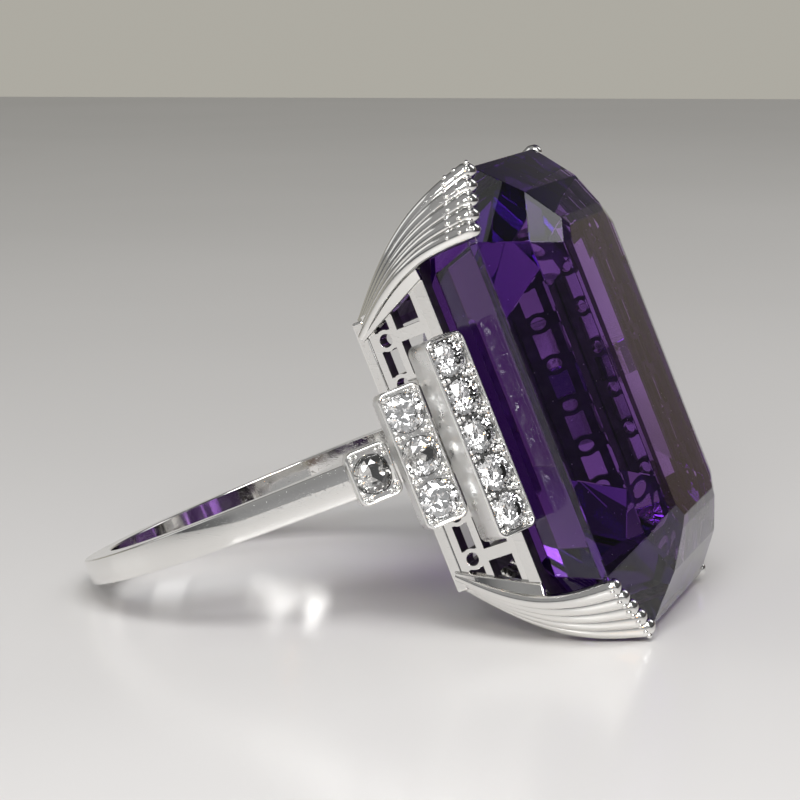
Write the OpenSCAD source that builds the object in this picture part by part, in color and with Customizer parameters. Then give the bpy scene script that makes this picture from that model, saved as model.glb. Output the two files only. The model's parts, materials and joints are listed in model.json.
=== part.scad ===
// Cocktail ring lying on its side: a step-cut gem held north-south in a pierced
// basket by four fluted corner claws, with stepped diamond shoulders.
//
// Every module below works in the ring's own frame: X runs across the band, Y along
// the finger and Z from the finger bore towards the gem's table, with the origin at
// the centre of the finger bore. lay() turns the finished piece into its resting pose.

/* [Finger bore and shank] */
// Radius of the finger bore
bore_r = 8.9; // [8:0.1:10]
// Radial thickness of the band at its back
band_t = 1.4; // [1:0.1:2]
// Width of the band at its back
band_back_w = 1.2; // [1:0.1:3]
// Width of the band where it meets the gallery
band_top_w = 1.8; // [1.2:0.1:3]
// Half distance across the tops of the band's arms, behind the five-stone bars
arm_top_w = 8.25; // [8:0.05:8.4]
// How far the arms' feet reach in under the base rail
foot_w = 1.5; // [1:0.1:2]

/* [Gem] */
// Half width of the gem at its girdle
gem_w = 8.4; // [8:0.1:8.8]
// Half length of the gem at its girdle
gem_l = 10.9; // [10.4:0.1:11.4]
// Cut taken off each corner of the girdle
gem_cut = 3.2; // [2.4:0.1:3.6]
// Height of the girdle above the bore's centre
gem_z = 16.1; // [15.8:0.1:16.4]
// Thickness of the girdle
girdle_t = 0.35; // [0.2:0.05:0.5]

/* [Gallery basket] */
// Half width of the basket at its base
base_w = 7.2; // [6.8:0.1:7.4]
// Half length of the basket at its base
base_l = 6.3; // [5.8:0.1:6.8]
// Half width of the basket at its top
top_w = 7.8; // [7.6:0.1:8]
// Half length of the basket at its top
top_l = 10; // [9.6:0.1:10.2]
// Height of the basket's underside above the bore's centre
base_z = 8.95; // [8.95:0.05:9.2]
// Height of the basket's top above the bore's centre
top_z = 13; // [12.8:0.1:13.2]
// Height of the base rail and of the seat rail
rail_h = 0.55; // [0.4:0.05:0.7]
// Thickness of the pierced walls
wall_t = 0.7; // [0.5:0.05:0.8]

/* [Piercing] */
// Distance from one opening of the pattern to the next
pierce_pitch = 2.07; // [1.9:0.01:2.1]
// Length of the large openings
large_l = 1.5; // [1.2:0.1:1.6]
// Height of the large openings
large_h = 1.2; // [1:0.1:1.3]
// Length of the small openings
small_l = 1.2; // [1:0.1:1.3]
// Height of the small openings
small_h = 0.75; // [0.5:0.05:0.8]
// Diameter of the round holes
hole_d = 0.6; // [0.4:0.05:0.7]

/* [Corner claws] */
// Number of ribs in each corner claw
claw_ribs = 5; // [4:1:6]
// Radius of a rib at the girdle
rib_top_r = 0.37; // [0.34:0.01:0.4]
// Radius of a rib at the base
rib_base_r = 0.2; // [0.15:0.01:0.25]
// How far the ribs bow outward between base and girdle
rib_bow = 0.6; // [0.3:0.05:0.8]
// Distance along the gem's corner cut of the first rib
claw_near = 0.45; // [0.3:0.05:0.6]
// Distance along the gem's corner cut of the last rib
claw_end = 2.95; // [2.8:0.05:3.1]

/* [Shoulder settings] */
// Diameter of the diamond in the single collet
collet_stone_d = 1.75; // [1.5:0.05:1.8]
// Diameter of the diamonds in the three-stone bar
three_stone_d = 1.75; // [1.5:0.05:1.8]
// Diameter of the diamonds in the five-stone bar
five_stone_d = 1.65; // [1.4:0.05:1.7]
// Width of the bars across their faces
bar_w = 2; // [1.9:0.05:2.2]
// Depth of the collet and the three-stone bar behind their faces
bar_depth = 1.1; // [1:0.05:1.2]
// Depth of the five-stone bar behind its face
five_depth = 1.75; // [1.5:0.05:1.8]
// Height of the border round each face
border_h = 0.12; // [0.05:0.01:0.2]
// Width of the border round each face
border_w = 0.12; // [0.1:0.01:0.15]
// Radius of the grains that hold the diamonds
grain_r = 0.15; // [0.1:0.01:0.18]

/* [Hidden] */

metal = "gainsboro";
diamond_colour = "azure";
gem_colour = "indigo";
front = -1;
back = 1;
upper = 1;
lower = -1;
round_fn = 64;
far = 40;

band_r = bore_r + band_t;
base_top = base_z + rail_h;
seat_z = top_z - rail_h;
rail_w = 0.8;
rail_lip = 0.1;
seat_inner_w = 6.3;
seat_lip = 0.05;
end_excess = gem_l - gem_w;
wall_lean = atan((top_w - base_w) / (top_z - base_z));
end_lean = atan((top_l - base_l) / (top_z - base_z));

// The gem's outlines, from its table down to its keel. Each one gives its inset from the
// girdle at the sides and at the ends, its corner cut, and its height from the girdle.
crown_steps = [[0, 0, gem_cut, 0], [1.9, 1.9, 2.1, 1.65], [3.85, 3.5, 1.05, 2.5], [4.65, 3.95, 0.65, 2.65]];
pavilion_steps = [[0, 0, gem_cut, 0], [0.9, 0.9, 2.9, -2.2], [3.4, 3.4, 2, -4.35], [6, 6, 1, -5.9],
                  [gem_w - 0.15, gem_w - 0.15, 0.05, -6.7]];

// Centre of each setting's face, [across, up], and the angle that its face tilts up.
collet_at = [9.4, 8.2];
collet_tilt = 30;
collet_l = 2.5;
three_at = [9.3, 10.6];
three_tilt = 35;
three_l = 3 * 2 + 0.3;
five_at = [9.15, 13.4];
five_tilt = 49;
five_l = 5 * 1.76 + 0.3;

// A rib's centre line: up from the base corner to the girdle, then over its edge.
rib_steps = 8;
rib_sides = 8;
claw_stand = 0.12;
sheet_t = 0.3;
tip_inset = 0.22;
tip_rise = 0.2;
tip_shrink = [0.85, 0.4];
girdle_mid = gem_z - girdle_t / 2;

function mix(a, b, t) = a + (b - a) * t;
function rib_foot(u) = mix([base_w + 0.02, base_l - 0.62, base_z + 0.25],
                           [base_w - 0.65, base_l + 0.05, base_z + 0.25], u);
function rib_head(u) = let (c = mix(claw_near, claw_end, u))
    [gem_w - c + claw_stand, gem_l - gem_cut + c + claw_stand, girdle_mid];
function rib_climb(u, t) = mix(rib_foot(u), rib_head(u), t) + rib_bow * sin(180 * t) * [0.5, 0.87, 0];
function rib_tip(u, k) = rib_head(u) + [-tip_inset * k, -tip_inset * k, tip_rise * k];
function rib_line(u) = concat([for (i = [0 : rib_steps]) rib_climb(u, i / rib_steps)],
                              [for (k = [0.6, 1]) rib_tip(u, k)]);
function rib_radii() = concat([for (i = [0 : rib_steps]) mix(rib_base_r, rib_top_r, i / rib_steps)],
                              rib_top_r * tip_shrink);

// The flat flange on the wall's side of the ribs: it follows the first rib on one edge
// and the basket's corner on the other, up to the seat rail's top.
flange_steps = 6;
flange_reach = 0.57;
flange_w = 0.9;
function flange_rib(t) = rib_climb(0, flange_reach * t);
function flange_edge(t) = [mix(base_w, top_w + seat_lip, t) + 0.05,
                           mix(base_l - flange_w, gem_l - flange_w - gem_cut + 0.3, t), flange_rib(t)[2]];

// The ring rests on the band's back edge and on its lower claws: the tilt that lays
// the band's edge and the lowest rib on one level.
function rest_angle(p, r) =
    let (down = band_back_w / 2 - p[1], along = p[2] + band_r)
    asin(r / norm([down, along])) - atan2(down, along);
lay_tilt = max([for (k = [0 : claw_ribs - 1]) let (line = rib_line(k / (claw_ribs - 1)))
                for (i = [0 : rib_steps]) rest_angle(line[i], rib_radii()[i])]);

function octagon(w, l, cut) = [[w, l - cut], [w - cut, l], [cut - w, l], [-w, l - cut],
                               [-w, cut - l], [cut - w, -l], [w - cut, -l], [w, cut - l]];
function raised(outline, z) = [for (p = outline) [p[0], p[1], z]];

// A closed solid through outlines that all have the same number of points.
module loft(outlines) {
    n = len(outlines[0]);
    last = len(outlines) - 1;
    sides = [for (i = [0 : last - 1]) for (j = [0 : n - 1]) let (k = (j + 1) % n)
             [i * n + j, (i + 1) * n + j, (i + 1) * n + k, i * n + k]];
    bottom = [for (j = [0 : n - 1]) j];
    top = [for (j = [n - 1 : -1 : 0]) last * n + j];
    polyhedron([for (o = outlines) for (p = o) p], concat([bottom, top], sides), convexity = 4);
}

// Turns a piece from the ring's own frame into the resting pose.
module lay() {
    rotate([0, -lay_tilt, 0]) rotate([90, 0, 90]) children();
}

module on_side(side) {
    mirror([side == front ? 1 : 0, 0, 0]) children();
}

module on_end(end) {
    mirror([0, end == lower ? 1 : 0, 0]) children();
}

// ---- gem -------------------------------------------------------------------------

function gem_outline(s, z) = raised(octagon(gem_w - s[0], gem_l - s[1], s[2]), z + s[3]);

module gem_solid() {
    below = [for (i = [len(pavilion_steps) - 1 : -1 : 0]) gem_outline(pavilion_steps[i], gem_z - girdle_t)];
    above = [for (s = crown_steps) gem_outline(s, gem_z)];
    loft(concat(below, above));
}

module amethyst() {
    color(gem_colour) lay() gem_solid();
}

// ---- shank -----------------------------------------------------------------------

// The band's side view: a circle whose tangents run up to the arms' tops, open above
// the bore between the arms' feet and where the basket stands.
module band_outline() {
    foot_gap = base_w - foot_w;
    difference() {
        hull() {
            circle(band_r, $fn = 96);
            translate([-arm_top_w, top_z - 0.3]) square([2 * arm_top_w, 0.1]);
        }
        translate([-foot_gap, 0]) square([2 * foot_gap, far]);
        polygon([[-base_w, base_z], [base_w, base_z], [top_w, top_z], [-top_w, top_z]]);
    }
}

module band_solid() {
    difference() {
        intersection() {
            rotate([90, 0, 0]) linear_extrude(far, center = true) band_outline();
            rotate([90, 0, 90]) linear_extrude(far, center = true)
                polygon([[band_back_w / 2, -band_r], [band_top_w / 2, top_z],
                         [-band_top_w / 2, top_z], [-band_back_w / 2, -band_r]]);
        }
        rotate([90, 0, 0]) cylinder(r = bore_r, h = far, center = true, $fn = round_fn);
    }
}

module shank() {
    color(metal) lay() difference() {
        band_solid();
        for (side = [front, back]) on_side(side) {
            collet_block();
            three_stone_block();
            five_stone_block();
            base_rail_solid();
        }
    }
}

// ---- gallery basket --------------------------------------------------------------

module base_rail_solid() {
    translate([0, 0, base_z]) linear_extrude(rail_h) difference() {
        square(2 * [base_w + rail_lip, base_l + rail_lip], center = true);
        square(2 * [base_w - rail_w, base_l - rail_w], center = true);
    }
}

module base_rail() {
    color(metal) lay() base_rail_solid();
}

module seat_rail_solid() {
    difference() {
        translate([0, 0, seat_z]) linear_extrude(rail_h)
            polygon(octagon(top_w + seat_lip, top_l + seat_lip, gem_cut - 0.3));
        translate([0, 0, seat_z - 1]) linear_extrude(rail_h + 2)
            polygon(octagon(seat_inner_w, seat_inner_w + end_excess, 2.4));
        gem_solid();
    }
}

module seat_rail() {
    color(metal) lay() difference() {
        seat_rail_solid();
        for (side = [front, back]) on_side(side) five_stone_block();
    }
}

// The pattern seen flat, with the wall's foot along y = 0 and its middle at x = 0.
module piercing(openings) {
    half = (openings - 1) / 2;
    small_y = 1.3;
    large_y = small_y + small_h / 2 + 0.35 + large_h / 2;
    for (i = [-half : half]) translate([i * pierce_pitch, 0]) {
        translate([0, large_y]) square([large_l, large_h], center = true);
        translate([0, small_y]) difference() {
            square([small_l, small_h], center = true);
            for (s = [-1, 1]) translate([s * pierce_pitch / 2, 0])
                circle(hole_d / 2 + 0.2, $fn = 24);
        }
    }
    for (i = [-half : half - 1]) translate([(i + 0.5) * pierce_pitch, small_y])
        circle(d = hole_d, $fn = 24);
}

// A leaning plate standing on the base rail's outer edge, from the base rail's top
// to the seat rail's underside. It is drawn on the +Y end of a basket.
module pierced_plate(foot, lean, foot_half, head_half, openings) {
    slope = (top_z - base_z) / cos(lean);
    intersection() {
        translate([0, foot, base_z]) rotate([90 - lean, 0, 0])
            linear_extrude(wall_t) difference() {
                polygon([[-foot_half, -1], [foot_half, -1], [head_half, slope + 1], [-head_half, slope + 1]]);
                piercing(openings);
            }
        translate([-far, -far, base_top]) cube([2 * far, 2 * far, seat_z - base_top]);
    }
}

module side_wall_solid() {
    rotate([0, 0, -90]) pierced_plate(base_w, wall_lean, base_l - 0.05, gem_l - gem_cut - 0.3, 7);
}

module end_wall_solid() {
    pierced_plate(base_l, end_lean, base_w - 1, gem_w - gem_cut - 0.2, 5);
}

module gallery_wall_side(side) {
    color(metal) lay() on_side(side) difference() {
        side_wall_solid();
        five_stone_block();
    }
}

module gallery_wall_end(end) {
    color(metal) lay() on_end(end) end_wall_solid();
}

// ---- corner claws ----------------------------------------------------------------

// One rib: a round bar swept along its centre line, thicker towards the girdle.
module rib(u) {
    line = rib_line(u);
    radii = rib_radii();
    last = len(line) - 1;
    rings = [for (i = [0 : last])
        let (ahead = line[min(i + 1, last)] - line[max(i - 1, 0)],
             forward = ahead / norm(ahead),
             across = cross(forward, [1, -1, 0] / sqrt(2)),
             out = across / norm(across),
             along = cross(out, forward))
        [for (k = [0 : rib_sides - 1]) let (a = 360 * (k + 0.5) / rib_sides)
            line[i] + radii[i] * (cos(a) * along + sin(a) * out)]];
    loft(rings);
}

// The sheet behind the ribs, which closes the grooves between them.
module claw_sheet() {
    out = sheet_t / 2 * [1, 1, 0] / sqrt(2);
    loft([for (i = [0 : rib_steps]) let (a = rib_climb(0, i / rib_steps), b = rib_climb(1, i / rib_steps))
          [a + out, b + out, b - out, a - out]]);
}

module claw_flange() {
    out = sheet_t / 2 * [0.95, 0.3, 0];
    loft([for (i = [0 : flange_steps]) let (a = flange_edge(i / flange_steps), b = flange_rib(i / flange_steps))
          [a + out, b + out, b - out, a - out]]);
}

module claw(side, end) {
    color(metal) lay() on_side(side) on_end(end) difference() {
        union() {
            for (k = [0 : claw_ribs - 1]) rib(k / (claw_ribs - 1));
            claw_sheet();
            claw_flange();
        }
        gem_solid();
        seat_rail_solid();
        base_rail_solid();
        side_wall_solid();
        end_wall_solid();
    }
}

// ---- shoulder settings -----------------------------------------------------------

// Puts a setting's face plane at z = 0, looking outward, with its length along Y.
module at_setting(at, tilt) {
    translate([at[0], 0, at[1]]) rotate([0, 90 - tilt, 0]) children();
}

module setting_block(l, depth) {
    translate([-bar_w / 2, -l / 2, -depth]) cube([bar_w, l, depth]);
}

module collet_block() {
    at_setting(collet_at, collet_tilt) setting_block(collet_l, bar_depth);
}

module three_stone_block() {
    at_setting(three_at, three_tilt) setting_block(three_l, bar_depth);
}

module five_stone_block() {
    at_setting(five_at, five_tilt) setting_block(five_l, five_depth);
}

// A round brilliant's outline in half section, girdle at y = 0.
module brilliant_section(d) {
    polygon([[0, -0.43 * d], [0.5 * d, 0], [0.5 * d, 0.03 * d], [0.28 * d, 0.16 * d], [0, 0.16 * d]]);
}

stone_sink = border_h + 0.1;

module stone_row(count, pitch) {
    for (i = [0 : count - 1]) translate([0, (i - (count - 1) / 2) * pitch, -stone_sink]) children();
}

module brilliant(d) {
    rotate_extrude($fn = 32) brilliant_section(d);
}

// The space that a setter cuts for one stone: a cone under the girdle, a wall above.
module stone_seat(d) {
    slack = 0.01;
    rotate_extrude($fn = 32)
        polygon([[0, -0.43 * d - slack], [0.5 * d + slack, -slack], [0.5 * d + slack, 1], [0, 1]]);
}

module grain_set_bar(at, tilt, l, depth, count, pitch, d) {
    at_setting(at, tilt) difference() {
        setting_block(l, depth);
        translate([border_w - bar_w / 2, border_w - l / 2, -border_h])
            cube([bar_w - 2 * border_w, l - 2 * border_w, 1]);
        stone_row(count, pitch) stone_seat(d);
    }
}

// Half-round grains raised in the corners between the stones.
module grain_row(at, tilt, count, pitch) {
    reach = bar_w / 2 - border_w - grain_r;
    at_setting(at, tilt) for (i = [0 : count]) for (s = [-1, 1])
        translate([s * reach, (i - count / 2) * pitch + end_shift(i, count), -border_h])
            rotate_extrude($fn = 24) intersection() {
                circle(grain_r, $fn = 24);
                square(grain_r);
            }
}

// The outermost grains sit just inside the border.
function end_shift(i, count) = i == 0 ? grain_r : i == count ? -grain_r : 0;

collet_pitch = collet_l - 2 * border_w;
three_pitch = 2;
five_pitch = 1.76;

module collet(side) {
    color(metal) lay() on_side(side)
        grain_set_bar(collet_at, collet_tilt, collet_l, bar_depth, 1, collet_pitch, collet_stone_d);
}

module three_stone_bar(side) {
    color(metal) lay() on_side(side) difference() {
        grain_set_bar(three_at, three_tilt, three_l, bar_depth, 3, three_pitch, three_stone_d);
        collet_block();
        five_stone_block();
    }
}

module five_stone_bar(side) {
    color(metal) lay() on_side(side)
        grain_set_bar(five_at, five_tilt, five_l, five_depth, 5, five_pitch, five_stone_d);
}

module collet_diamond(side) {
    color(diamond_colour) lay() on_side(side) at_setting(collet_at, collet_tilt)
        stone_row(1, collet_pitch) brilliant(collet_stone_d);
}

module three_bar_diamonds(side) {
    color(diamond_colour) lay() on_side(side) at_setting(three_at, three_tilt)
        stone_row(3, three_pitch) brilliant(three_stone_d);
}

module five_bar_diamonds(side) {
    color(diamond_colour) lay() on_side(side) at_setting(five_at, five_tilt)
        stone_row(5, five_pitch) brilliant(five_stone_d);
}

module grains(side) {
    color(metal) lay() on_side(side) {
        grain_row(collet_at, collet_tilt, 1, collet_pitch);
        grain_row(three_at, three_tilt, 3, three_pitch);
        grain_row(five_at, five_tilt, 5, five_pitch);
    }
}

shank();
base_rail();
seat_rail();
gallery_wall_side(front);  // gallery_wall_front
gallery_wall_side(back);  // gallery_wall_back
gallery_wall_end(upper);  // gallery_wall_upper
gallery_wall_end(lower);  // gallery_wall_lower
claw(front, upper);  // claws_front_upper
claw(front, lower);  // claws_front_lower
claw(back, upper);  // claws_back_upper
claw(back, lower);  // claws_back_lower
collet(front);  // collet_front
collet(back);  // collet_back
three_stone_bar(front);  // three_stone_bar_front
three_stone_bar(back);  // three_stone_bar_back
five_stone_bar(front);  // five_stone_bar_front
five_stone_bar(back);  // five_stone_bar_back
collet_diamond(front);  // collet_diamond_front
collet_diamond(back);  // collet_diamond_back
three_bar_diamonds(front);  // three_bar_diamonds_front
three_bar_diamonds(back);  // three_bar_diamonds_back
five_bar_diamonds(front);  // five_bar_diamonds_front
five_bar_diamonds(back);  // five_bar_diamonds_back
grains(front);  // grains_front
grains(back);  // grains_back
amethyst();
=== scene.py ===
import json
import math
import random
from collections import namedtuple

import bmesh
import bpy
from mathutils import Matrix, Vector


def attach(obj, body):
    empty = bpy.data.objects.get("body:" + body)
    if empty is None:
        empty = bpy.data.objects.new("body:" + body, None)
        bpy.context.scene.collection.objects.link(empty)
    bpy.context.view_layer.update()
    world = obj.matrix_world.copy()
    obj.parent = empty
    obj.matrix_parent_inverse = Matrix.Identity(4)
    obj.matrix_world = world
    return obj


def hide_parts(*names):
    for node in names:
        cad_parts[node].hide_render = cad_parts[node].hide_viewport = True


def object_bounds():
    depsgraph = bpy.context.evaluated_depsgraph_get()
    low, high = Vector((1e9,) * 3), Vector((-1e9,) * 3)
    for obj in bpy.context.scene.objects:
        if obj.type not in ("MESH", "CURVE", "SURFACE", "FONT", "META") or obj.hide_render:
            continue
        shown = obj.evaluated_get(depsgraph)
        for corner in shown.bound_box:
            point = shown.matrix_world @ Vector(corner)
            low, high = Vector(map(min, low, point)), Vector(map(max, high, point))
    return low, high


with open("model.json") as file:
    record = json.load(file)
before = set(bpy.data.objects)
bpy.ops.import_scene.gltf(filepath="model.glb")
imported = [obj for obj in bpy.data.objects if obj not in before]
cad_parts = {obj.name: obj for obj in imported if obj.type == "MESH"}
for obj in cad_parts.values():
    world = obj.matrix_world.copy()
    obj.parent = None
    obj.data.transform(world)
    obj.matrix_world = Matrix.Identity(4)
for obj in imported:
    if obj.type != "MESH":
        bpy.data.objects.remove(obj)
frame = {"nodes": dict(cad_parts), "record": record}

CAD_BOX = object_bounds()
MM = 0.001
SEED = 7

# The ring's own frame, as the CAD has it: X across the band, Y along the finger, Z from the
# finger bore to the gem's table, in millimetres. TO_ROW turns a point of it into the row's frame.
BORE_AXIS = Vector(frame["record"]["mounts"][0]["axis"]).normalized()
LAY_TILT = math.atan2(-BORE_AXIS.x, BORE_AXIS.z)
TO_ROW = (
    Matrix.Scale(MM, 4)
    @ Matrix.Rotation(-LAY_TILT, 4, "Y")
    @ Matrix.Rotation(math.radians(90), 4, "Z")
    @ Matrix.Rotation(math.radians(90), 4, "X")
)
FRONT, BACK = -1, 1
SIDES = {"front": FRONT, "back": BACK}
ENDS = {"upper": 1, "lower": -1}

# Sizes that the CAD states, in millimetres.
GEM_W, GEM_L, GEM_CUT, GEM_Z = 8.4, 10.9, 3.2, 16.1
GIRDLE = 0.35
CROWN = [(0, 0, GEM_CUT, 0), (1.9, 1.9, 2.1, 1.65), (3.85, 3.5, 1.05, 2.5), (4.65, 3.95, 0.65, 2.65)]
PAVILION = [(0, 0, GEM_CUT, 0), (0.9, 0.9, 2.9, -2.2), (3.4, 3.4, 2, -4.35), (6, 6, 1, -5.9),
            (GEM_W - 0.15, GEM_W - 0.15, 0.05, -6.7)]
BASE_W, BASE_L, BASE_Z = 7.2, 6.3, 8.95
TOP_W, TOP_Z = 7.8, 13.0
BORE_R, BAND_R = 8.9, 10.3
BAND_BACK_W, BAND_TOP_W = 1.2, 1.8
ARM_TOP_W, FOOT_GAP = 8.25, 5.7
CLAW_RIBS, RIB_BASE_R = 5, 0.2
CLAW_NEAR, CLAW_END, CLAW_STAND = 0.45, 2.95, 0.12
TIP_INSET, TIP_RISE = 0.22, 0.2
FLANGE_REACH, FLANGE_W = 0.57, 0.9
BORDER = 0.12
STONE_SINK = BORDER + 0.1
BAR_W = 2.0
GRAIN_R = 0.15
# The claws' ribs are a little thicker at the top than the CAD's, and bow out further.
RIB_TOP_R = {FRONT: 0.42, BACK: 0.38}
RIB_BOW = 0.9
# Each setting: its face's centre, across and up, and its tilt; its stones' number, pitch and
# diameter; its length, its depth behind the face and how far its stones are turned.
Setting = namedtuple("Setting", "at tilt count pitch stone_d length depth turn")
SETTINGS = {
    "collet_diamond": Setting((9.4, 8.2), 30, 1, 2.26, 1.75, 2.5, 1.1, 9),
    "three_bar_diamonds": Setting((9.3, 10.6), 35, 3, 2.0, 1.75, 6.3, 1.1, 0),
    "five_bar_diamonds": Setting((9.15, 13.4), 49, 5, 1.76, 1.65, 9.1, 1.75, 0),
}


# ---- node materials ----------------------------------------------------------------


class Nodes:
    """Short names for building the node tree of a material or a world."""

    def __init__(self, owner, shader="Principled BSDF"):
        owner.use_nodes = True
        self.owner = owner
        self.tree = owner.node_tree
        self.shader = self.tree.nodes[shader]

    def add(self, kind, **settings):
        node = self.tree.nodes.new("ShaderNode" + kind)
        for key, value in settings.items():
            setattr(node, key, value)
        return node

    def link(self, source, target):
        self.tree.links.new(source, target)

    def coords(self):
        return self.add("TexCoord").outputs["Object"]

    def noise(self, scale, detail=2.0, stretch=None):
        """Noise in object space. scale is in features per millimetre."""
        vector = self.coords()
        if stretch:
            mapping = self.add("Mapping")
            mapping.inputs["Scale"].default_value = stretch
            self.link(vector, mapping.inputs["Vector"])
            vector = mapping.outputs["Vector"]
        node = self.add("TexNoise")
        node.inputs["Scale"].default_value = scale / MM
        node.inputs["Detail"].default_value = detail
        self.link(vector, node.inputs["Vector"])
        return node.outputs["Fac"]

    def ramp(self, value, stops):
        node = self.add("ValToRGB")
        ramp = node.color_ramp
        while len(ramp.elements) < len(stops):
            ramp.elements.new(0.5)
        for element, (position, colour) in zip(ramp.elements, stops):
            element.position = position
            element.color = (*colour, 1) if isinstance(colour, tuple) else (colour, colour, colour, 1)
        self.link(value, node.inputs["Fac"])
        return node.outputs["Color"]

    def math(self, operation, a, b):
        node = self.add("Math", operation=operation)
        for socket, value in zip(node.inputs, (a, b)):
            if isinstance(value, (int, float)):
                socket.default_value = value
            else:
                self.link(value, socket)
        return node.outputs[0]

    def bump(self, height, depth, strength=1.0, normal=None):
        """depth is the height of the relief in millimetres."""
        node = self.add("Bump")
        node.inputs["Strength"].default_value = strength
        node.inputs["Distance"].default_value = depth * MM
        self.link(height, node.inputs["Height"])
        if normal:
            self.link(normal, node.inputs["Normal"])
        return node.outputs["Normal"]


def new_material(name):
    return Nodes(bpy.data.materials.new(name))


def polished_metal(name, tone, roughness, scratch_depth):
    """Mirror-polished white metal: hairline scratches, faint smears and a slow waviness."""
    n = new_material(name)
    smeared = tuple(c * 0.95 for c in tone)
    smears = n.ramp(n.noise(0.35, 4), [(0.3, smeared), (0.7, tone)])
    n.link(smears, n.shader.inputs["Base Color"])
    haze = n.ramp(n.noise(1.1, 5), [(0.35, roughness * 0.6), (0.75, roughness * 1.7)])
    n.link(haze, n.shader.inputs["Roughness"])
    long_hairs = n.ramp(n.noise(1.0, 3, stretch=(0.35, 14, 4)), [(0.62, 0.0), (0.68, 1.0)])
    cross_hairs = n.ramp(n.noise(1.0, 3, stretch=(9, 0.5, 16)), [(0.63, 0.0), (0.69, 1.0)])
    hairs = n.math("ADD", long_hairs, cross_hairs)
    wavy = n.bump(n.noise(0.5, 1), 0.004)
    n.link(n.bump(hairs, scratch_depth, normal=wavy), n.shader.inputs["Normal"])
    n.shader.inputs["Metallic"].default_value = 1.0
    return n.owner


def clear_stone(name, tint, ior, roughness):
    """A clear stone with a faint variation of its tint and of its polish."""
    n = new_material(name)
    deeper = tuple(c * 0.97 for c in tint)
    n.link(n.ramp(n.noise(0.8, 2), [(0.3, deeper), (0.7, tint)]), n.shader.inputs["Base Color"])
    polish = n.ramp(n.noise(2.0, 3), [(0.4, roughness * 0.5), (0.7, roughness)])
    n.link(polish, n.shader.inputs["Roughness"])
    n.shader.inputs["IOR"].default_value = ior
    n.shader.inputs["Transmission Weight"].default_value = 1.0
    return n.owner


def amethyst_material():
    """Deep violet quartz with slow colour zoning and a few specks of dust on its polish."""
    n = new_material("amethyst")
    zoning = n.ramp(n.noise(0.12, 2), [(0.35, (0.80, 0.70, 0.92)), (0.65, (0.86, 0.74, 0.92))])
    n.link(zoning, n.shader.inputs["Base Color"])
    dust = n.add("TexVoronoi", feature="F1")
    dust.inputs["Scale"].default_value = 1.6 / MM
    n.link(n.coords(), dust.inputs["Vector"])
    specks = n.ramp(dust.outputs["Distance"], [(0.03, 1.0), (0.06, 0.0)])
    n.link(n.math("MULTIPLY", specks, 0.5), n.shader.inputs["Roughness"])
    n.shader.inputs["IOR"].default_value = 1.55
    n.shader.inputs["Transmission Weight"].default_value = 1.0
    volume = n.add("VolumeAbsorption")
    volume.inputs["Color"].default_value = (0.43, 0.11, 0.64, 1)
    volume.inputs["Density"].default_value = 205
    n.link(volume.outputs["Volume"], n.tree.nodes["Material Output"].inputs["Volume"])
    return n.owner


def floor_material():
    """A plain pale floor with a low gloss and a broad, faint mottle."""
    n = new_material("floor")
    tone = n.ramp(n.noise(0.01, 3), [(0.3, (0.72, 0.71, 0.70)), (0.7, (0.78, 0.77, 0.76))])
    n.link(tone, n.shader.inputs["Base Color"])
    n.shader.inputs["Roughness"].default_value = 0.22
    n.shader.inputs["IOR"].default_value = 1.35
    return n.owner


def dull_metal_painted_shade():
    """The inside of the basket: dull and uneven where no buff reaches, and dark grey as painted shade.
    """
    n = new_material("dull_metal_painted_shade")
    # The dark grey colour is painted shade for the inside of the basket; the roughness and bump below
    # are its dull, unbuffed finish.
    painted_shade = n.ramp(n.noise(0.9, 5), [(0.3, (0.07, 0.065, 0.07)), (0.75, (0.17, 0.16, 0.165))])
    n.link(painted_shade, n.shader.inputs["Base Color"])
    n.link(n.ramp(n.noise(2.5, 4), [(0.3, 0.35), (0.7, 0.6)]), n.shader.inputs["Roughness"])
    n.link(n.bump(n.noise(1.8, 3), 0.01), n.shader.inputs["Normal"])
    n.shader.inputs["Metallic"].default_value = 1.0
    return n.owner


METAL = polished_metal("white_metal", (0.82, 0.812, 0.79), 0.06, 0.0010)
SETTING_METAL = polished_metal("setting_metal", (0.82, 0.815, 0.80), 0.15, 0.0018)
SATIN_METAL = polished_metal("satin_metal", (0.80, 0.795, 0.78), 0.42, 0.0018)
# The basket's inside: dull metal whose dark grey colour is painted shade.
INNER_PAINTED_SHADE_METAL = dull_metal_painted_shade()
DIAMOND = clear_stone("diamond", (0.98, 0.985, 0.99), 2.42, 0.01)
AMETHYST = amethyst_material()


# ---- pieces ------------------------------------------------------------------------


def new_piece(name, bm, material, replaces=(), sharp=None):
    """Turns a bmesh in the ring's frame into a piece in the row's frame that rides on the ring."""
    bmesh.ops.transform(bm, matrix=TO_ROW, verts=bm.verts)
    bmesh.ops.recalc_face_normals(bm, faces=bm.faces)
    mesh = bpy.data.meshes.new(name)
    bm.to_mesh(mesh)
    bm.free()
    piece = bpy.data.objects.new(name, mesh)
    bpy.context.scene.collection.objects.link(piece)
    mesh.materials.append(material)
    if sharp is not None:
        mesh.shade_smooth()
        mesh.set_sharp_from_angle(angle=math.radians(sharp))
    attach(piece, "root")
    if replaces:
        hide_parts(*replaces)
    return piece


def rounded_edges(piece, width, segments=2, angle=28):
    """Breaks a piece's sharp edges, as polishing does."""
    bevel = piece.modifiers.new("broken edges", "BEVEL")
    bevel.width = width * MM
    bevel.segments = segments
    bevel.limit_method = "ANGLE"
    bevel.angle_limit = math.radians(angle)
    bevel.use_clamp_overlap = True
    bevel.harden_normals = True
    return bevel


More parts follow.
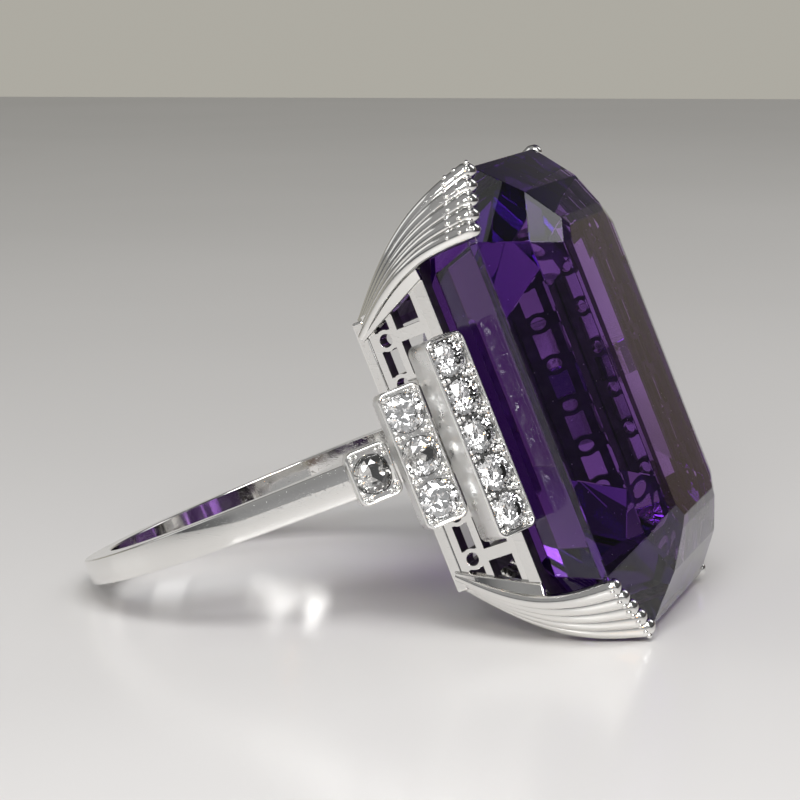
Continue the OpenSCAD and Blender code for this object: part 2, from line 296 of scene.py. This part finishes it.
def dull_and_shade_inside(piece):
    """Gives the faces that look into the basket, and those that face straight up, the dull metal with
    painted shade.
    """
    piece.data.materials.append(INNER_PAINTED_SHADE_METAL)
    from_row = TO_ROW.inverted()
    turn = from_row.to_3x3()
    for face in piece.data.polygons:
        centre = from_row @ face.center
        normal = (turn @ face.normal).normalized()
        across = normal.x * math.copysign(1, centre.x)
        along = normal.y * math.copysign(1, centre.y)
        # Faces that look inward or straight up get the dark grey of painted shade.
        if min(across, along) < -0.5 or normal.z > 0.9:
            face.material_index = 1


def polished_copy(node, material, width):
    """A CAD node's own shape, welded, with its flat faces made whole and its edges rounded."""
    bm = bmesh.new()
    bm.from_mesh(frame["nodes"][node].data)
    bmesh.ops.remove_doubles(bm, verts=bm.verts, dist=0.0005 * MM)
    bmesh.ops.dissolve_limit(bm, angle_limit=math.radians(0.4), verts=bm.verts, edges=bm.edges)
    bmesh.ops.transform(bm, matrix=TO_ROW.inverted(), verts=bm.verts)
    piece = new_piece("polished_" + node, bm, material, [node], sharp=28)
    # The faces inside the basket get the painted shade.
    dull_and_shade_inside(piece)
    rounded_edges(piece, width)


def octagon(w, l, cut, z):
    """A rectangle with cut corners, from its half width, half length and cut."""
    half = [(w, l - cut), (w - cut, l), (cut - w, l), (-w, l - cut)]
    return [Vector((x, y, z)) for x, y in half] + [Vector((-x, -y, z)) for x, y in half]


def loft(bm, outlines):
    """Faces through outlines with equal numbers of points, closed at both ends."""
    rings = [[bm.verts.new(p) for p in outline] for outline in outlines]
    for lower, upper in zip(rings, rings[1:]):
        for k in range(len(lower)):
            following = (k + 1) % len(lower)
            bm.faces.new((lower[k], lower[following], upper[following], upper[k]))
    bm.faces.new(rings[0][::-1])
    bm.faces.new(rings[-1])


def build_amethyst():
    """The gem, from its lowest step through its girdle to its table."""
    bm = bmesh.new()
    def outline(step, z):
        return octagon(GEM_W - step[0], GEM_L - step[1], step[2], z + step[3])
    below = [outline(step, GEM_Z - GIRDLE) for step in reversed(PAVILION)]
    above = [outline(step, GEM_Z) for step in CROWN]
    loft(bm, below + above)
    gem = new_piece("step_cut_amethyst", bm, AMETHYST, ["amethyst"])
    rounded_edges(gem, 0.03, segments=1, angle=2).harden_normals = False


# A round brilliant, in diameters: its table, the tips of its stars, its girdle, and the
# points where its lower-girdle facets meet. Heights are above or below the girdle.
TABLE_R, STAR_R, MAIN_R = 0.28, 0.39, 0.5
CROWN_H, STAR_H, GIRDLE_H, PAVILION_H = 0.13, 0.0873, 0.03, 0.43
LOWER_GIRDLE_R, LOWER_GIRDLE_DEPTH = 0.12, 0.325


def brilliant(bm, d, place):
    """A round brilliant, with its girdle's lower edge at z = 0. Each pavilion main is two faces."""
    def ring(r, z, count, turn=0.0):
        points = []
        for k in range(count):
            a = 2 * math.pi * (k + turn) / count
            points.append(bm.verts.new(place @ (Vector((r * math.cos(a), r * math.sin(a), z)) * d)))
        return points
    table = ring(TABLE_R, GIRDLE_H + CROWN_H, 8)
    stars = ring(STAR_R, GIRDLE_H + STAR_H, 8, 0.5)
    upper = ring(MAIN_R, GIRDLE_H, 16)
    lower = ring(MAIN_R, 0, 16)
    mids = ring(LOWER_GIRDLE_R, -LOWER_GIRDLE_DEPTH, 8, 0.5)
    culet = bm.verts.new(place @ (Vector((0, 0, -PAVILION_H)) * d))
    bm.faces.new(table)
    for k in range(8):
        after = (k + 1) % 8
        before = (k - 1) % 8
        bm.faces.new((table[k], stars[k], table[after]))
        bm.faces.new((table[k], stars[before], upper[2 * k], stars[k]))
        bm.faces.new((stars[k], upper[2 * k], upper[2 * k + 1]))
        bm.faces.new((stars[k], upper[2 * k + 1], upper[(2 * k + 2) % 16]))
        bm.faces.new((mids[k], lower[2 * k + 1], lower[2 * k]))
        bm.faces.new((mids[k], lower[(2 * k + 2) % 16], lower[2 * k + 1]))
        bm.faces.new((mids[k], culet, mids[before]))
        bm.faces.new((mids[k], lower[2 * k], mids[before]))
    for k in range(16):
        after = (k + 1) % 16
        bm.faces.new((lower[k], lower[after], upper[after], upper[k]))


def setting_place(side, setting):
    """A setting's face plane: Z outward, Y along the finger, as on the CAD."""
    mirror = Matrix.Scale(-1, 4, (1, 0, 0)) if side == FRONT else Matrix.Identity(4)
    return (
        mirror
        @ Matrix.Translation((setting.at[0], 0, setting.at[1]))
        @ Matrix.Rotation(math.radians(90 - setting.tilt), 4, "Y")
    )


def stone_places(side_name, setting):
    """The place of each stone's girdle in a setting."""
    for i in range(setting.count):
        y = (i - (setting.count - 1) / 2) * setting.pitch
        yield setting_place(SIDES[side_name], setting) @ Matrix.Translation((0, y, -STONE_SINK))


def build_diamonds(kind, side_name):
    """A setting's brilliants, each turned about its own axis by its own amount."""
    setting = SETTINGS[kind]
    rng = random.Random(SEED + 4 * setting.count)
    bm = bmesh.new()
    for place in stone_places(side_name, setting):
        turn = math.radians(setting.turn) + rng.uniform(0, math.pi / 4)
        brilliant(bm, setting.stone_d, place @ Matrix.Rotation(turn, 4, "Z"))
    new_piece(f"brilliants_{kind}_{side_name}", bm, DIAMOND, [f"{kind}_{side_name}"])


def bead(bm, place, r):
    """A small ball of metal."""
    bmesh.ops.create_icosphere(bm, subdivisions=2, radius=r, matrix=place)


# The small grains beside each large one: how far further across, and how far along.
SMALL_GRAINS = ((0.02, 0.3), (0.02, -0.3), (-0.27, 0))


def build_grains(side_name):
    """Raised grains in the corners between the stones: a large one, with small ones beside it."""
    rng = random.Random(f"{SEED}{side_name}")
    bm = bmesh.new()
    reach = BAR_W / 2 - BORDER - GRAIN_R
    for setting in SETTINGS.values():
        place = setting_place(SIDES[side_name], setting)
        room = setting.length / 2 - BORDER - 0.08
        for i in range(setting.count + 1):
            inward = GRAIN_R if i == 0 else -GRAIN_R if i == setting.count else 0
            y = (i - setting.count / 2) * setting.pitch + inward
            for s in (-1, 1):
                bead(bm, place @ Matrix.Translation((s * reach, y, -BORDER)), GRAIN_R * 1.1)
                for across, along in SMALL_GRAINS:
                    if abs(y + along) < room:
                        spot = Vector((s * (reach + across), y + along, -BORDER - 0.03))
                        bead(bm, place @ Matrix.Translation(spot), GRAIN_R * rng.uniform(0.62, 0.85))
    replaced = [f"grains_{side_name}"]
    new_piece(f"beads_{side_name}", bm, SETTING_METAL, replaced, sharp=60)


# A bar's corners, its foot's chamfer, and the roll along its upper edge.
CORNER_R, CORNER_POINTS = 0.38, 7
FOOT_CHAMFER = 0.06
EDGE_R, EDGE_POINTS, EDGE_NARROWING = 0.1, 9, 0.8


def rounded_rectangle(half_w, half_l, r, z):
    points = []
    for quarter, (sx, sy) in enumerate(((1, 1), (-1, 1), (-1, -1), (1, -1))):
        corner = Vector((sx * (half_w - r), sy * (half_l - r), z))
        for k in range(CORNER_POINTS):
            a = math.pi / 2 * (quarter + k / (CORNER_POINTS - 1))
            points.append(corner + Vector((r * math.cos(a), r * math.sin(a), 0)))
    return points


def build_bar(node, kind, side_name):
    """A box with rounded corners, a rolled border and a sunk floor with a seat for each stone."""
    setting = SETTINGS[kind]
    place = setting_place(SIDES[side_name], setting)
    profile = [(FOOT_CHAMFER, -setting.depth), (0.0, -setting.depth + FOOT_CHAMFER)]
    for k in range(EDGE_POINTS):
        a = math.pi * k / (EDGE_POINTS - 1)
        profile.append((EDGE_R * (1 - math.cos(a)) * EDGE_NARROWING, -EDGE_R + EDGE_R * math.sin(a)))
    profile.append((EDGE_R * 1.7, -BORDER - 0.08))
    bm = bmesh.new()
    outlines = []
    for inset, z in profile:
        half_w, half_l = BAR_W / 2 - inset, setting.length / 2 - inset
        outline = rounded_rectangle(half_w, half_l, CORNER_R - inset * 0.6, z)
        outlines.append([place @ p for p in outline])
    loft(bm, outlines)
    name = node + side_name
    bar = new_piece("rounded_" + name, bm, SETTING_METAL, [name], sharp=60)
    cut_seats(bar, side_name, setting)


# A stone's seat: its room round the stone, its depth in diameters and its sides.
SEAT_SLACK, SEAT_DEPTH, SEAT_SIDES = 0.02, 0.45, 48


def cut_seats(bar, side_name, setting):
    """Drills the cone that each stone sits in, and applies the cut to the bar's mesh."""
    wide, deep = setting.stone_d / 2 + SEAT_SLACK, SEAT_DEPTH * setting.stone_d
    turns = [2 * math.pi * k / SEAT_SIDES for k in range(SEAT_SIDES)]
    bm = bmesh.new()
    for place in stone_places(side_name, setting):
        outlines = []
        for r, z in ((0.01, -deep), (wide, -SEAT_SLACK), (wide, 0.5)):
            outlines.append([place @ Vector((r * math.cos(a), r * math.sin(a), z)) for a in turns])
        loft(bm, outlines)
    bmesh.ops.transform(bm, matrix=TO_ROW, verts=bm.verts)
    bmesh.ops.recalc_face_normals(bm, faces=bm.faces)
    mesh = bpy.data.meshes.new("seat_cutter")
    bm.to_mesh(mesh)
    bm.free()
    cutter = bpy.data.objects.new("seat_cutter", mesh)
    bpy.context.scene.collection.objects.link(cutter)
    cut = bar.modifiers.new("seats", "BOOLEAN")
    cut.object = cutter
    cut.solver = "EXACT"
    depsgraph = bpy.context.evaluated_depsgraph_get()
    bar_mesh = bpy.data.meshes.new_from_object(bar.evaluated_get(depsgraph))
    bar.modifiers.clear()
    bar.data = bar_mesh
    bar.data.set_sharp_from_angle(angle=math.radians(50))
    satin_sides(bar, side_name, setting)
    bpy.data.objects.remove(cutter)
    bpy.data.meshes.remove(mesh)


def satin_sides(bar, side_name, setting):
    """Gives the bar's upright sides a satin finish."""
    bar.data.materials.append(SATIN_METAL)
    outward = (TO_ROW @ setting_place(SIDES[side_name], setting)).to_3x3().col[2].normalized()
    for face in bar.data.polygons:
        if abs(face.normal.dot(outward)) < 0.1:
            face.material_index = 1


# ---- corner claws ------------------------------------------------------------------

RIB_RINGS, TIP_RINGS, RIB_SIDES = 40, 10, 16
# The first and the last rib's foot, on the base rail's corner.
FOOT_NEAR = Vector((BASE_W + 0.02, BASE_L - 0.62, BASE_Z + 0.25))
FOOT_END = Vector((BASE_W - 0.65, BASE_L + 0.05, BASE_Z + 0.25))
BOW_WAY = Vector((0.5, 0.87, 0))
WEB_T, FLANGE_T = 0.3, 0.34


def mix(a, b, t):
    return a + (b - a) * t


def rib_head(u):
    """The rib's place on the gem's cut corner. u runs from 0 at the long side to 1 at the end."""
    c = mix(CLAW_NEAR, CLAW_END, u)
    return Vector((GEM_W - c + CLAW_STAND, GEM_L - GEM_CUT + c + CLAW_STAND, GEM_Z - GIRDLE / 2))


def rib_point(u, t):
    """t from 0 at the base to 1 at the girdle, and on to 2 at the tip over the gem's edge."""
    if t <= 1:
        bow = RIB_BOW * math.sin(math.pi * t)
        return mix(mix(FOOT_NEAR, FOOT_END, u), rib_head(u), t) + BOW_WAY * bow
    k = t - 1
    rise = TIP_RISE * math.sin(k * math.pi / 2)
    return rib_head(u) + Vector((-TIP_INSET * k, -TIP_INSET * k, rise))


def rib_radius(t, top_r):
    """Thickens up to the girdle, then rounds off to the tip."""
    if t <= 1:
        return mix(RIB_BASE_R, top_r, t)
    return top_r * math.sqrt(max(0.02, 1 - (t - 1) ** 2 * 0.9))


def rib(bm, u, flip, top_r):
    """One rib, as a round bar along rib_point."""
    steps = [i / RIB_RINGS for i in range(RIB_RINGS)] + [1 + k / TIP_RINGS for k in range(TIP_RINGS + 1)]
    turns = [2 * math.pi * k / RIB_SIDES for k in range(RIB_SIDES)]
    outlines = []
    for t in steps:
        ahead = rib_point(u, min(t + 0.02, 2)) - rib_point(u, max(t - 0.02, 0))
        forward = ahead.normalized()
        out = forward.cross(Vector((1, -1, 0))).normalized()
        along = out.cross(forward)
        centre, r = rib_point(u, t), rib_radius(t, top_r)
        outlines.append([flip @ (centre + r * (math.cos(a) * along + math.sin(a) * out)) for a in turns])
    loft(bm, outlines)


def plate(bm, flip, edge_a, edge_b, normal, thickness, steps):
    """A thin curved plate between two edges, each given as a function from 0 to 1."""
    out = Vector(normal).normalized() * thickness / 2
    outlines = []
    for i in range(steps + 1):
        a, b = edge_a(i / steps), edge_b(i / steps)
        outlines.append([flip @ p for p in (a + out, b + out, b - out, a - out)])
    loft(bm, outlines)


def flange_edge(t):
    """The flange's edge on the basket's wall, from the base rail up to the seat rail."""
    x = mix(BASE_W, TOP_W + 0.05, t) + 0.05
    y = mix(BASE_L - FLANGE_W, GEM_L - FLANGE_W - GEM_CUT + 0.3, t)
    return Vector((x, y, rib_point(0, FLANGE_REACH * t).z))


# Where along the ribs of each claw the setter's beads lie: the far claws have none. A pair stands
# BEAD_APART to either side of the rib's middle, and its centres are BEAD_SINK below the surface.
BEAD_ROWS = {("front", "upper"): (0.86, 0.93, 1.0), ("front", "lower"): (1.0,),
             ("back", "upper"): (), ("back", "lower"): ()}
BEAD_APART, BEAD_SINK = 0.165, 0.07


def tip_beads(bm, u, flip, rows, top_r, rng):
    """The rough beads that the setter left when the rib's tip was worked over the girdle."""
    for row, t in enumerate(rows):
        for s in (-1, 1):
            out = Vector((1, 1, 0.2 + 0.3 * row)).normalized() * (rib_radius(t, top_r) - BEAD_SINK)
            side = Vector((1, -1, 0)).normalized() * BEAD_APART * s
            r = rng.uniform(0.10, 0.15)
            stray = Vector((0, 0, rng.uniform(-0.06, 0.06)))
            spot = rib_point(u, t) + out + side + stray
            bead(bm, Matrix.Translation(flip @ spot), r)
    if rows:
        bead(bm, Matrix.Translation(flip @ rib_point(u, 1.3)), top_r * 0.48)


def build_claw(side_name, end_name):
    """Ribs with a web between them, and a separate flange down the long wall."""
    flip = Matrix.Diagonal((SIDES[side_name], ENDS[end_name], 1, 1))
    rng = random.Random(f"{SEED}{side_name}{end_name}")
    bm = bmesh.new()
    top_r = RIB_TOP_R[SIDES[side_name]]
    for k in range(CLAW_RIBS):
        u = k / (CLAW_RIBS - 1)
        rib(bm, u, flip, top_r)
        tip_beads(bm, u, flip, BEAD_ROWS[side_name, end_name], top_r, rng)
    plate(bm, flip, lambda t: rib_point(0, t), lambda t: rib_point(1, t), (1, 1, 0), WEB_T, 20)
    name = f"claws_{side_name}_{end_name}"
    new_piece("fluted_" + name, bm, METAL, [name], sharp=50)
    bm = bmesh.new()
    plate(bm, flip, flange_edge, lambda t: rib_point(0, FLANGE_REACH * t), (0.95, 0.3, 0), FLANGE_T, 12)
    flange = new_piece(f"claw_flange_{side_name}_{end_name}", bm, METAL, sharp=28)
    rounded_edges(flange, 0.07, segments=3)


# ---- shank -------------------------------------------------------------------------

CROWN_ANGLE, CROWN_POINTS = math.radians(13), 9
TANGENT_Z = TOP_Z - 0.3
ARM_STEPS, BACK_STEPS = 12, 120


def band_outer():
    """The band's outer edge in side view, from one arm's top round the back to the other's."""
    reach = math.hypot(ARM_TOP_W, TANGENT_Z)
    touch = math.atan2(TANGENT_Z, ARM_TOP_W) - math.acos(BAND_R / reach)
    head = Vector((ARM_TOP_W, TOP_Z - 0.2))
    foot = Vector((BAND_R * math.cos(touch), BAND_R * math.sin(touch)))
    arm = [head.lerp(foot, k / ARM_STEPS) for k in range(ARM_STEPS)]
    turns = [touch - (math.pi + 2 * touch) * k / BACK_STEPS for k in range(BACK_STEPS + 1)]
    back = [Vector((BAND_R * math.cos(a), BAND_R * math.sin(a))) for a in turns]
    return arm + back + [Vector((-p.x, p.y)) for p in reversed(arm)]


def band_inner(outer):
    """The point of the bore, the foot gap or the basket's wall that faces each outer point."""
    inner = []
    for p in outer:
        side = math.copysign(1, p.x)
        if p.y <= 0:
            inner.append(p.normalized() * BORE_R)
        elif p.y < BASE_Z:
            z = p.y
            x = max(math.sqrt(max(BORE_R ** 2 - z ** 2, 0)), FOOT_GAP)
            inner.append(Vector((side * x, z)))
        else:
            wall = mix(BASE_W, TOP_W, (p.y - BASE_Z) / (TOP_Z - BASE_Z))
            inner.append(Vector((side * wall, p.y)))
    return inner


def build_shank():
    """A slim band, wider towards the arms, with a gently crowned outer face."""
    outer = band_outer()
    inner = band_inner(outer)
    outlines = []
    for p, q in zip(outer, inner):
        half = mix(BAND_BACK_W, BAND_TOP_W, (p.y + BAND_R) / (TOP_Z + BAND_R)) / 2
        r = half / math.sin(CROWN_ANGLE)
        outward = (p - q).normalized()
        section = []
        for k in range(CROWN_POINTS):
            a = mix(-CROWN_ANGLE, CROWN_ANGLE, k / (CROWN_POINTS - 1))
            spot = p - outward * r * (1 - math.cos(a))
            section.append(Vector((spot.x, r * math.sin(a), spot.y)))
        section.append(Vector((q.x, half, q.y)))
        section.append(Vector((q.x, -half, q.y)))
        outlines.append(section)
    bm = bmesh.new()
    loft(bm, outlines)
    shank = new_piece("polished_shank", bm, METAL, ["shank"], sharp=32)
    rounded_edges(shank, 0.08, segments=3, angle=40)


# ---- the whole ring ----------------------------------------------------------------

build_shank()
for node, width in [("base_rail", 0.1), ("seat_rail", 0.05)]:
    polished_copy(node, METAL, width)
for wall in list(SIDES) + list(ENDS):
    polished_copy("gallery_wall_" + wall, METAL, 0.07)
for side_name in SIDES:
    for node, kind in zip(("collet_", "three_stone_bar_", "five_stone_bar_"), SETTINGS):
        build_bar(node, kind, side_name)
        build_diamonds(kind, side_name)
    build_grains(side_name)
    for end_name in ENDS:
        build_claw(side_name, end_name)
build_amethyst()


# ---- floor, light and camera -------------------------------------------------------

FLOOR_HALF = 400


def build_floor():
    bm = bmesh.new()
    reach, z = FLOOR_HALF * MM, CAD_BOX[0].z
    corners = [(-reach, -reach, z), (reach, -reach, z), (reach, reach, z), (-reach, reach, z)]
    bm.faces.new([bm.verts.new(corner) for corner in corners])
    mesh = bpy.data.meshes.new("floor")
    bm.to_mesh(mesh)
    bm.free()
    mesh.materials.append(floor_material())
    floor = bpy.data.objects.new("floor", mesh)
    bpy.context.scene.collection.objects.link(floor)


def soft_light(name, azimuth, elevation, distance, size, power):
    """A square soft box that looks at the ring. Azimuth is measured as the camera's is."""
    light = bpy.data.lights.new(name, "AREA")
    light.size = size * MM
    light.energy = power
    lamp = bpy.data.objects.new(name, light)
    a, e = math.radians(azimuth), math.radians(elevation)
    back = Vector((math.sin(a) * math.cos(e), -math.cos(a) * math.cos(e), math.sin(e)))
    lamp.location = (CAD_BOX[0] + CAD_BOX[1]) / 2 + back * distance * MM
    lamp.rotation_euler = (-back).to_track_quat("-Z", "Y").to_euler()
    bpy.context.scene.collection.objects.link(lamp)
    return light


# The studio's tones by azimuth in degrees, measured as the camera's is: a pale backdrop behind the
# ring and to its left, a light card beside the camera, a black flag on the right, and a warm dim stretch
# between the flag and the backdrop. Over them is a ceiling that is dark above the backdrop.
PALE, BLACK = (0.42, 0.405, 0.36), (0.05, 0.045, 0.05)
WALLS = [(-180, PALE), (-90, PALE), (-60, (0.20, 0.20, 0.20)), (-40, (0.10, 0.10, 0.105)),
         (-15, (0.20, 0.20, 0.205)), (0, (0.42, 0.42, 0.425)), (40, (0.40, 0.40, 0.405)),
         (55, (0.22, 0.22, 0.225)), (72, BLACK), (128, BLACK), (145, (0.14, 0.10, 0.09)),
         (162, (0.19, 0.135, 0.12)), (172, (0.40, 0.385, 0.34)), (180, PALE)]
CEILING = [(-180, (0.07, 0.06, 0.09)), (-150, 0.06), (-100, 0.26), (-60, 0.32), (55, 0.32),
           (75, 0.10), (125, 0.10), (165, (0.06, 0.055, 0.08))]


def build_world():
    """The studio round the ring. Directions are those of the row's frame."""
    world = bpy.data.worlds.new("studio")
    bpy.context.scene.world = world
    n = Nodes(world, shader="Background")
    split = n.add("SeparateXYZ")
    n.link(n.add("TexCoord").outputs["Generated"], split.inputs[0])
    azimuth = n.math("ARCTAN2", split.outputs["X"], n.math("MULTIPLY", split.outputs["Y"], -1))
    turn = n.math("ADD", n.math("DIVIDE", azimuth, 2 * math.pi), 0.5)
    def by_azimuth(tones):
        return n.ramp(turn, [(degrees / 360 + 0.5, tone) for degrees, tone in tones])
    ceiling = n.add("Mix", data_type="RGBA")
    n.link(n.ramp(split.outputs["Z"], [(0.12, 0.0), (0.28, 1.0)]), ceiling.inputs["Factor"])
    n.link(by_azimuth(WALLS), ceiling.inputs["A"])
    n.link(by_azimuth(CEILING), ceiling.inputs["B"])
    n.link(ceiling.outputs["Result"], n.shader.inputs["Color"])


# The camera's place, its aim and its upward direction, in the ring's frame.
CAMERA_AT, CAMERA_AIM, CAMERA_UP = (-114.7, 7.3, 50.2), (0, 2.2, 7.05), (0.166, 0.928, 0.332)
CAMERA_LENS = 117.4


def build_camera():
    at = TO_ROW @ Vector(CAMERA_AT)
    back = (at - TO_ROW @ Vector(CAMERA_AIM)).normalized()
    right = (TO_ROW.to_3x3() @ Vector(CAMERA_UP)).cross(back).normalized()
    turn = Matrix((right, back.cross(right), back)).transposed()
    camera = bpy.data.objects.new("camera", bpy.data.cameras.new("camera"))
    camera.matrix_world = Matrix.Translation(at) @ turn.to_4x4()
    camera.data.lens = CAMERA_LENS
    camera.data.clip_start = 0.005
    bpy.context.scene.collection.objects.link(camera)
    bpy.context.scene.camera = camera


build_floor()
build_world()
soft_light("key", azimuth=27, elevation=47, distance=320, size=190, power=0.88)
soft_light("camera_box", azimuth=2, elevation=30, distance=320, size=70, power=0.24)
soft_light("right_box", azimuth=56, elevation=22, distance=320, size=80, power=0.025)
soft_light("side", azimuth=-80, elevation=30, distance=320, size=160, power=0.06)
soft_light("back", azimuth=134, elevation=39, distance=320, size=155, power=0.13)
soft_light("top_back", azimuth=121, elevation=64, distance=320, size=70, power=0.008)
soft_light("right_sparkle", azimuth=50, elevation=34, distance=300, size=18, power=0.05)
# A small amber lamp, in place of the fire that dispersion gives the diamonds.
warm = soft_light("warm_sparkle", azimuth=22, elevation=24, distance=300, size=16, power=0.035)
warm.color = (1.0, 0.5, 0.16)
build_camera()
bpy.context.scene.view_settings.view_transform = "Standard"
